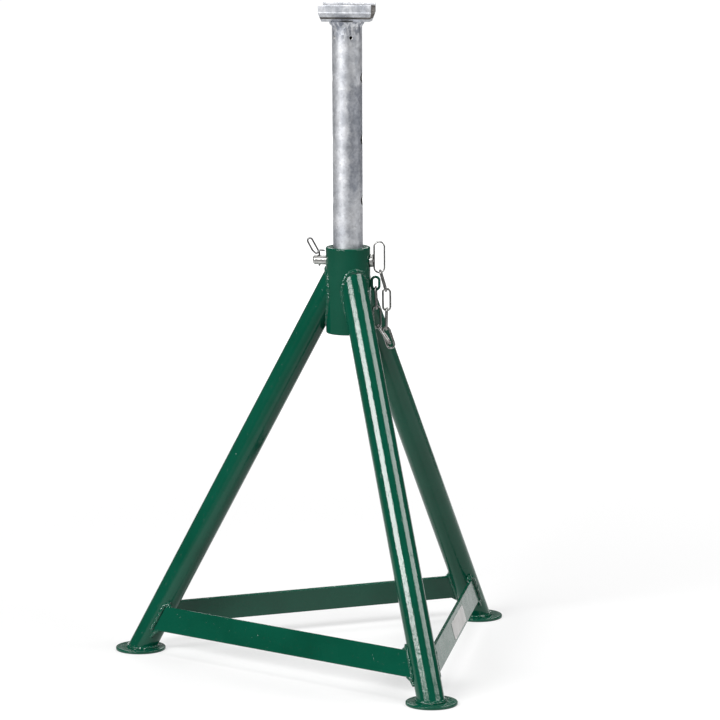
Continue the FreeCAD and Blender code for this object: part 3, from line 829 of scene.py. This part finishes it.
def saddle_mesh():
    """The pressed section drawn along X, its lower corners cut off and its lips uneven."""
    along = 72
    points = []
    for ring in range(along + 1):
        share = 2 * ring / along - 1
        for y, z in saddle_outline:
            x = share * (SADDLE_HALF - SADDLE_BEVEL * max(0.0, 1 - z / SADDLE_KNEE))
            uneven = max(0.0, noise((x * 70, y * 20, 4.0)) + 0.25)
            sag = LIP_SAG * uneven * max(0.0, (z - LIP_FOOT) / LIP_HEIGHT)
            points.append((x, y, COLUMN_TOP + z - sag))
    count = len(saddle_outline)
    faces = lattice(along + 1, count, False)
    cap = tessellate_polygon([[Vector((y, z, 0)) for y, z in saddle_outline]])
    for start in (0, along * count):
        faces += [tuple(start + i for i in corner) for corner in cap]
    return mesh_from(points, faces)


saddle = settle("saddle_trough", saddle_mesh(), GALVANISED, crease=40)
rim = saddle.modifiers.new("dressed_ends", "BEVEL")
rim.width = 0.0009
rim.segments = 3
rim.limit_method = "ANGLE"
rim.angle_limit = radians(60)
evened(saddle)
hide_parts("saddle")
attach(saddle, "column")

# Saddle weld
# The heavy sloping bead that joins the column to the saddle. Zinc gathered on it in the
# bath and ran down from it in short tongues.
FLARE_TOP = 0.0303
FLARE_DROP = 0.0082
FLARE_ROOT = 0.002
FLARE_LAP = 0.0002
TONGUE = 0.02
FLARE_LUMP = 0.0009
DRIP = 0.0011


def flare_mesh():
    """A closed skirt round the column with an uneven slope and a ragged lower edge."""
    around, rows = 144, 14
    root = COLUMN_RADIUS - FLARE_ROOT
    points = []
    for step in range(around):
        angle = 2 * pi * step / around
        east, north = cos(angle), sin(angle)
        tongue = max(0.0, noise((east * 3.1, north * 3.1, 7.0)) + 0.1) ** 1.5
        low = COLUMN_TOP - FLARE_DROP - TONGUE * tongue
        for row in range(rows + 1):
            share = row / rows
            height = low + (COLUMN_TOP + FLARE_LAP - low) * share
            slope = max(0.0, 1 - (COLUMN_TOP - height) / FLARE_DROP)
            lump = noise((east * 7, north * 7, height * 260)) * FLARE_LUMP
            lump *= sin(pi * min(1.0, share * 1.2))
            drip = DRIP * sin(pi * share) if tongue else 0.0
            radius = COLUMN_RADIUS - SKIN + (FLARE_TOP - COLUMN_RADIUS) * slope**1.3 + lump + drip
            points.append((radius * east, radius * north, height))
        points += [(root * east, root * north, COLUMN_TOP), (root * east, root * north, low)]
    return mesh_from(points, lattice(around, rows + 3))


flare = settle("saddle_weld_bead", flare_mesh(), GALVANISED, crease=70)
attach(flare, "column")

# Lock pin
# A turned 16 mm pin with a 22 mm head at the right and a chamfer and a cross hole for
# the clip at the left. It is zinc plated, and a little worn where it slides.
PIN_RADIUS = 0.008
PIN_CHAMFER = 0.0025
HEAD_RADIUS = 0.011
PIN_END = -0.059
HEAD_START = 0.038
HEAD_END = 0.0425
CLIP_HOLE = -0.0485
CLIP_HOLE_RADIUS = 0.002


def make_plated(name, colour, dark, roughness, rubbed):
    """Zinc plating on turned or drawn steel, with fine marks round the piece."""
    finish, tree, shader, coords = new_finish(name, colour, 1.0, roughness)
    marks = patchy(tree, coords, 300, 0.0, 1.0, 0.3, 0.7, 2, (4, 1, 1))
    looks = {
        "Base Color": patchy(tree, coords, 120, dark, colour, 0.3, 0.6, 3),
        "Roughness": patchy(tree, coords, 90, roughness, rubbed, 0.35, 0.7, 3),
        "Normal": dented(tree, marks, 0.12, 0.0001),
    }
    feed(tree, shader, looks)
    return finish


PLATED = make_plated("pin_zinc", (0.58, 0.58, 0.56), (0.42, 0.42, 0.41), 0.26, 0.44)

pin_corners = [
    (0, PIN_END), (PIN_RADIUS - PIN_CHAMFER, PIN_END), (PIN_RADIUS, PIN_END + PIN_CHAMFER),
    (PIN_RADIUS, HEAD_START), (HEAD_RADIUS, HEAD_START), (HEAD_RADIUS, HEAD_END), (0, HEAD_END),
]
pin_outline = softened(pin_corners, (0, 0.0008, 0.001, 0.0004, 0.0006, 0.001, 0), 4, False)
pin_mesh = turned(divided(pin_outline, 0.004, False), 64, False)
pin_mesh.transform(Matrix.Translation((0, 0, PIN_LEVEL)) @ Matrix.Rotation(pi / 2, 4, "Y"))
clip_hole = rod_mesh(CLIP_HOLE_RADIUS, 0.03, (0, 0, 1), (CLIP_HOLE, 0, PIN_LEVEL))
pin = drilled("lock_pin_rod", pin_mesh, [clip_hole], PLATED)
evened(pin)
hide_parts("lock_pin")
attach(pin, "pin")

# Pull ring, chain eye and keeper chain
# Drawn wire bent to long ovals and butt welded in the middle of one side, which leaves
# a small swelling: the pull ring stands on the pin's head, the eye on the socket, and
# seven links hang between them.
RING_WIRE, RING_WIDTH, RING_LENGTH = 0.003, 0.0204, 0.0548
LINK_WIRE, LINK_WIDTH, LINK_LENGTH = 0.0035, 0.016, 0.04
EYE_WIRE, EYE_WIDTH, EYE_LENGTH = 0.0045, 0.017, 0.026
SWELLING_LENGTH = 0.0022
LINK_GAP = 0.0005
RING_LIFT = 0.006
EYE_DROP = 0.061
SEAT_GAP = 0.0003
DAB_HALF, DAB_LIFT = 0.002, 0.0004
ANCHOR_LIFT, ANCHOR_ASIDE, ANCHOR_STEP = 0.0007, 0.0019, 0.001


def oval_tree():
    """A closed oval of round wire, its length along X, turned and then put in its place."""
    places = dict.fromkeys(("Roll", "Turn", "Middle"), "Vector")
    sizes = ("Wire", "Width", "Length", "Swelling")
    tree, given = open_tree("oval_of_wire", "Nothing", sizes, places)
    bend = multiplied(tree, put_math(tree, "SUBTRACT", given["Width"], given["Wire"]), 0.5)
    reach = multiplied(tree, put_math(tree, "SUBTRACT", given["Length"], given["Width"]), 0.5)
    circle = made(tree, "GeometryNodeCurvePrimitiveCircle", {"Resolution": 72, "Radius": bend})
    place = made(tree, "GeometryNodeInputPosition", {})
    parts = put_node(tree, "ShaderNodeSeparateXYZ", {"Vector": place}).outputs
    sign = put_math(tree, "SIGN", put_math(tree, "SNAP", parts["X"], 0.00001))
    aside = made(tree, "ShaderNodeCombineXYZ", {"X": multiplied(tree, sign, reach)})
    drawn = made(tree, "GeometryNodeSetPosition", {"Geometry": circle, "Offset": aside})
    off_weld = put_math(tree, "DIVIDE", parts["X"], SWELLING_LENGTH)
    near = multiplied(tree, put_math(tree, "POWER", off_weld, 2.0), -1.0)
    below = put_math(tree, "LESS_THAN", parts["Y"], 0.0)
    swell = multiplied(tree, put_math(tree, "EXPONENT", near), below, given["Swelling"])
    grades = {"Curve": stepped(tree, drawn, 0.0007), "Radius": put_math(tree, "ADD", swell, 1.0)}
    sized = made(tree, "GeometryNodeSetCurveRadius", grades)
    wire = swept(tree, sized, multiplied(tree, given["Wire"], 0.5), 20, False)
    roll = {"Geometry": wire, "Rotation": given["Roll"]}
    rolled = made(tree, "GeometryNodeTransform", roll)
    turn = {"Geometry": rolled, "Rotation": given["Turn"], "Translation": given["Middle"]}
    placed = made(tree, "GeometryNodeTransform", turn)
    return close_tree(tree, placed, given["Finish"])


OVAL_TREE = oval_tree()
CHAIN_ZINC = make_plated("chain_zinc", (0.4, 0.4, 0.39), (0.26, 0.26, 0.25), 0.22, 0.4)


def hang_oval(name, sizes, x, z, angle, face_on, swelling, finish):
    """An oval in the plane y = 0, or across it, its length at an angle up from +X."""
    wire, width, length = sizes
    values = {
        "Wire": wire,
        "Width": width,
        "Length": length,
        "Swelling": swelling,
        "Roll": (pi / 2 if face_on else 0.0, 0.0, 0.0),
        "Turn": (0.0, -angle, 0.0),
        "Middle": (x, 0.0, z),
    }
    return grown(OVAL_TREE, name, bpy.data.meshes.new("nothing"), values, finish)


ring_x = HEAD_END + RING_WIDTH / 2
ring_z = PIN_LEVEL + RING_LIFT
ring_sizes = (RING_WIRE, RING_WIDTH, RING_LENGTH)
ring = hang_oval("pull_loop", ring_sizes, ring_x, ring_z, pi / 2, True, 0.14, CHAIN_ZINC)
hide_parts("pull_ring")
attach(ring, "pin")

dab_path = [(HEAD_END + DAB_LIFT, 0.0, PIN_LEVEL + rise) for rise in (-DAB_HALF, DAB_HALF)]
dab = laid(
    "loop_weld_dab", [dab_path], PLATED, False,
    radius=0.0022, ripple_length=0.002, ripple_depth=0.25, wander=0.0006, step=0.0005, seed=2.0,
)
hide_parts("ring_weld")
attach(dab, "pin")

eye_x = SOCKET_OUTER + EYE_WIDTH / 2 + SEAT_GAP
eye_z = SOCKET_TOP - EYE_DROP
eye_sizes = (EYE_WIRE, EYE_WIDTH, EYE_LENGTH)
eye = hang_oval("chain_anchor", eye_sizes, eye_x, eye_z, pi / 2, True, 0.1, ENAMEL)
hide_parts("chain_eye")
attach(eye, "frame")

anchor_paths = [
    [
        (SOCKET_OUTER + ANCHOR_LIFT, side * ANCHOR_ASIDE, eye_z + rise * ANCHOR_STEP)
        for rise in range(-6, 7)
    ]
    for side in (-1, 1)
]
anchor_bead = laid(
    "anchor_weld_bead", anchor_paths, ENAMEL, False,
    radius=0.0016, ripple_length=0.0028, ripple_depth=0.2, wander=0.0006, step=0.0006, seed=6.0,
)
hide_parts("eye_weld")
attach(anchor_bead, "frame")

link_bend = (LINK_WIDTH - LINK_WIRE) / 2
link_middle = LINK_LENGTH - LINK_WIRE
inner_reach = link_bend - LINK_WIRE - LINK_GAP
ring_reach = (RING_WIDTH - RING_WIRE) / 2 - (RING_WIRE + LINK_WIRE) / 2 - LINK_GAP
eye_reach = (EYE_WIDTH - EYE_WIRE) / 2 - (EYE_WIRE + LINK_WIRE) / 2 - LINK_GAP
first_run = ring_reach + link_middle + inner_reach
edge_run = inner_reach + link_middle + inner_reach
face_run = link_middle - 2 * link_bend
last_run = eye_reach + link_middle + inner_reach
runs = [first_run, face_run, edge_run, face_run, edge_run, face_run, last_run]


def away(point, run, degrees):
    """The point that lies one run away at an angle up from +X."""
    return point + Vector((cos(radians(degrees)), sin(radians(degrees)))) * run


# Hang of the chain
# The ring's side hangs nearly straight, the eye's side almost plumb, and the fourth and
# fifth links close the loop in a kink to the right, as the photograph shows them.
RING_SIDE = (-74, -89.5, -91.5)
EYE_SIDE = -88

pivots = [Vector((ring_x, ring_z - (RING_LENGTH - RING_WIDTH) / 2))]
for run, hang in zip(runs[:3], RING_SIDE):
    pivots.append(away(pivots[-1], run, hang))
eye_pivot = Vector((eye_x, eye_z - (EYE_LENGTH - EYE_WIDTH) / 2))
after_seven = away(eye_pivot, runs[6], EYE_SIDE)
after_six = away(after_seven, runs[5], EYE_SIDE)
gap = after_six - pivots[3]
along_gap = (runs[3] ** 2 - runs[4] ** 2 + gap.length_squared) / (2 * gap.length)
off_gap = sqrt(runs[3] ** 2 - along_gap**2)
ahead = gap.normalized()
aside = Vector((ahead.y, -ahead.x))
meetings = [pivots[3] + ahead * along_gap + aside * off_gap * sign for sign in (1, -1)]
pivots += [min(meetings, key=lambda point: point.y), after_six, after_seven, eye_pivot]

link_sizes = (LINK_WIRE, LINK_WIDTH, LINK_LENGTH)
for number in range(7):
    name = "keeper_link_%d" % (number + 1)
    start, end = pivots[number], pivots[number + 1]
    angle = atan2(end.y - start.y, end.x - start.x)
    face_on = number % 2 == 1
    lead = ring_reach if number == 0 else inner_reach
    to_middle = runs[number] / 2 if face_on else lead + link_middle / 2
    x, z = start + (end - start).normalized() * to_middle
    link = hang_oval(name, link_sizes, x, z, angle, face_on, 0.14, CHAIN_ZINC)
    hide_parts("chain_link_%d" % (number + 1))
    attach(link, "link_%d" % (number + 1))

# Hairpin clip
# Spring steel wire with one straight leg down through the pin's end, a looped head that
# leans outwards, and a free leg that crosses in front and lies over the pin.
CLIP_WIRE = 0.003
CLIP_BEND = 0.0041
CLIP_LENGTH = 0.029
CLIP_LEAN = radians(29)
CLIP_TIP = 0.002
CLIP_INSET = 0.011

SPRING = make_plated("spring_wire", (0.18, 0.18, 0.18), (0.1, 0.1, 0.1), 0.3, 0.45)
rise = Vector((-sin(CLIP_LEAN), 0, cos(CLIP_LEAN)))
outward = Vector((-cos(CLIP_LEAN), 0, -sin(CLIP_LEAN)))
front = -CLIP_WIRE * 1.1
elbow = Vector((0, 0, PIN_RADIUS + CLIP_WIRE * 1.5))
head_right = elbow + rise * CLIP_LENGTH
head_left = head_right + outward * CLIP_BEND * 2.02
shoulder = head_left - rise * CLIP_LENGTH * 0.7 + Vector((0, -CLIP_WIRE / 2, 0))
clip_corners = [
    Vector((0, 0, -PIN_RADIUS - CLIP_TIP)),
    elbow,
    head_right,
    head_left,
    shoulder,
    Vector((-CLIP_WIRE * 1.5, front, PIN_RADIUS + CLIP_WIRE * 0.75)),
    Vector((CLIP_WIRE * 0.6, front, PIN_RADIUS + CLIP_WIRE * 3)),
    Vector((CLIP_INSET - CLIP_WIRE * 0.5, front, PIN_RADIUS + CLIP_WIRE * 2.7)),
]
clip_rounds = (
    0, CLIP_WIRE * 1.3, CLIP_BEND, CLIP_BEND, CLIP_WIRE * 1.7, CLIP_WIRE, CLIP_WIRE * 0.9, 0,
)
clip_path = softened(clip_corners, clip_rounds, 14, False)
clip_path = [point + Vector((CLIP_HOLE, 0, PIN_LEVEL)) for point in clip_path]
clip = laid(
    "hairpin_wire", [clip_path], SPRING, False,
    radius=CLIP_WIRE / 2, ripple_length=1.0, ripple_depth=0.0, wander=0.0, step=0.0006, seed=0.0,
)
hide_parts("safety_clip")
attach(clip, "clip")

# Studio
# A pale floor that runs far back, bright on a wide sheet behind the stand. A long soft
# lamp at the front left and one at the right make the two streaks on the tubes, with a
# weak one overhead, one at the back, and a dim pale room all round.
SHEET_TONE = 0.38
FLOOR_TONE = 0.2
FLOOR_GLOW = 0.1
BACKWARD = (-0.151, 0.989, 0)
SIDEWARD = (0.989, 0.151, 0)
SHEET_SIDE, SHEET_SIDE_END = 1.95, 2.4
SHEET_FRONT_END, SHEET_FRONT = -1.3, -0.65
GLOW_FROM, GLOW_TO = 1.0, 4.5
NEAR_GLOW, FAR_GLOW = 0.57, 1.0
FLOOR_SIZE = 120.0
FLOOR_DROP = 0.0002

floor_finish, floor_tree, floor_shader, floor_place = new_finish(
    "studio_floor", (0.6, 0.6, 0.6), 0.0, 0.9
)
rays = put_node(floor_tree, "ShaderNodeLightPath", {}).outputs
seen_by = put_math(floor_tree, "ADD", rays["Is Camera Ray"], rays["Is Glossy Ray"])
seen_by = put_math(floor_tree, "ADD", seen_by, rays["Is Transmission Ray"])


def faded(value, start, end, low, high):
    """A smooth change from one strength to another as a distance grows."""
    return spread(floor_tree, value, start, end, low, high, "SMOOTHSTEP")


sideways = put_vector(floor_tree, "DOT_PRODUCT", {0: floor_place, 1: SIDEWARD})["Value"]
sideways = put_math(floor_tree, "ABSOLUTE", sideways)
backwards = put_vector(floor_tree, "DOT_PRODUCT", {0: floor_place, 1: BACKWARD})["Value"]
from_stand = put_vector(floor_tree, "LENGTH", {0: floor_place})["Value"]
on_sheet = multiplied(
    floor_tree,
    faded(sideways, SHEET_SIDE, SHEET_SIDE_END, 1.0, 0.0),
    faded(backwards, SHEET_FRONT_END, SHEET_FRONT, 0.0, 1.0),
)
sheet_glow = faded(from_stand, GLOW_FROM, GLOW_TO, NEAR_GLOW, FAR_GLOW)
extra_glow = put_math(floor_tree, "SUBTRACT", sheet_glow, FLOOR_GLOW)
strength = put_math(floor_tree, "MULTIPLY_ADD", extra_glow, on_sheet, FLOOR_GLOW)
tone = put_math(floor_tree, "MULTIPLY_ADD", on_sheet, SHEET_TONE - FLOOR_TONE, FLOOR_TONE)
feed(floor_tree, floor_shader, {"Specular IOR Level": 0.0, "Base Color": tone})
glow_looks = {"Color": (1, 1, 1, 1), "Strength": multiplied(floor_tree, seen_by, strength)}
glow = made(floor_tree, "ShaderNodeEmission", glow_looks)
shaders = {0: floor_shader.outputs["BSDF"], 1: glow}
joined = made(floor_tree, "ShaderNodeAddShader", shaders)
feed(floor_tree, floor_tree.nodes["Material Output"], {"Surface": joined})
floor_corners = [(x, y, -FLOOR_DROP) for x, y in rectangle(0, 0, FLOOR_SIZE, FLOOR_SIZE)]
floor_mesh = mesh_from(floor_corners, [(0, 1, 2, 3)])
floor_mesh.materials.append(floor_finish)
studio_floor = bpy.data.objects.new("studio_floor", floor_mesh)
bpy.context.scene.collection.objects.link(studio_floor)

room = bpy.data.worlds.new("studio_room")
room.use_nodes = True
room_light = room.node_tree.nodes["Background"]
feed(room.node_tree, room_light, {"Color": (1, 1, 1, 1), "Strength": 0.08})
bpy.context.scene.world = room


def bar_lamp(name, start, end, depth, watts):
    """A long soft lamp between two points that faces the middle of the stand."""
    start, end = Vector(start), Vector(end)
    middle = (start + end) / 2
    along = (end - start).normalized()
    back = middle - Vector((0, 0, 0.4))
    back = (back - along * back.dot(along)).normalized()
    lamp = bpy.data.lights.new(name, "AREA")
    lamp.shape = "RECTANGLE"
    lamp.size = (end - start).length
    lamp.size_y = depth
    lamp.energy = watts
    holder = bpy.data.objects.new(name, lamp)
    axes = Matrix((along, back.cross(along), back)).transposed().to_4x4()
    holder.matrix_world = Matrix.Translation(middle) @ axes
    bpy.context.scene.collection.objects.link(holder)


bar_lamp("left_lamp", (-6.76, -5.14, 3.33), (-1.57, -7.22, 5.65), 1.4, 790)
bar_lamp("right_lamp", (5.23, -3.27, 5.49), (7.08, 1.25, 3.91), 1.8, 330)
bar_lamp("top_lamp", (-1.25, 0.6, 4.0), (1.25, 0.6, 4.0), 2.5, 48)
bar_lamp("back_lamp", (-3.3, 8.6, 4.6), (0.6, 9.2, 4.6), 2.4, 230)

# Camera
# As the photograph was taken: a long lens from 6.7 m away and 1.6 m up, a little to the
# right of the front, looking slightly down.
VIEW_AZIMUTH = radians(8.716)
VIEW_AWAY = 6.729
VIEW_HEIGHT = 1.6296
VIEW_PITCH = radians(9.464)
VIEW_YAW = VIEW_AZIMUTH + radians(-0.163)
VIEW_ROLL = radians(-0.251)
FILM_WIDTH = 36
PICTURE_WIDTH = 720
FOCAL_PIXELS = 4067.3

looking = Vector(
    (-sin(VIEW_YAW) * cos(VIEW_PITCH), cos(VIEW_YAW) * cos(VIEW_PITCH), -sin(VIEW_PITCH))
)
level = Vector((cos(VIEW_YAW), sin(VIEW_YAW), 0))
upward = level.cross(looking)
rightward = level * cos(VIEW_ROLL) + upward * sin(VIEW_ROLL)
upward = upward * cos(VIEW_ROLL) - level * sin(VIEW_ROLL)
eye_place = Vector((VIEW_AWAY * sin(VIEW_AZIMUTH), -VIEW_AWAY * cos(VIEW_AZIMUTH), VIEW_HEIGHT))
lens = bpy.data.cameras.new("studio_camera")
lens.sensor_width = FILM_WIDTH
lens.lens = FILM_WIDTH * FOCAL_PIXELS / PICTURE_WIDTH
lens.clip_end = 200
viewer = bpy.data.objects.new("studio_camera", lens)
turn = Matrix((rightward, upward, -looking)).transposed().to_4x4()
viewer.matrix_world = Matrix.Translation(eye_place) @ turn
bpy.context.scene.collection.objects.link(viewer)
bpy.context.scene.camera = viewer
bpy.context.scene.view_settings.view_transform = "Standard"
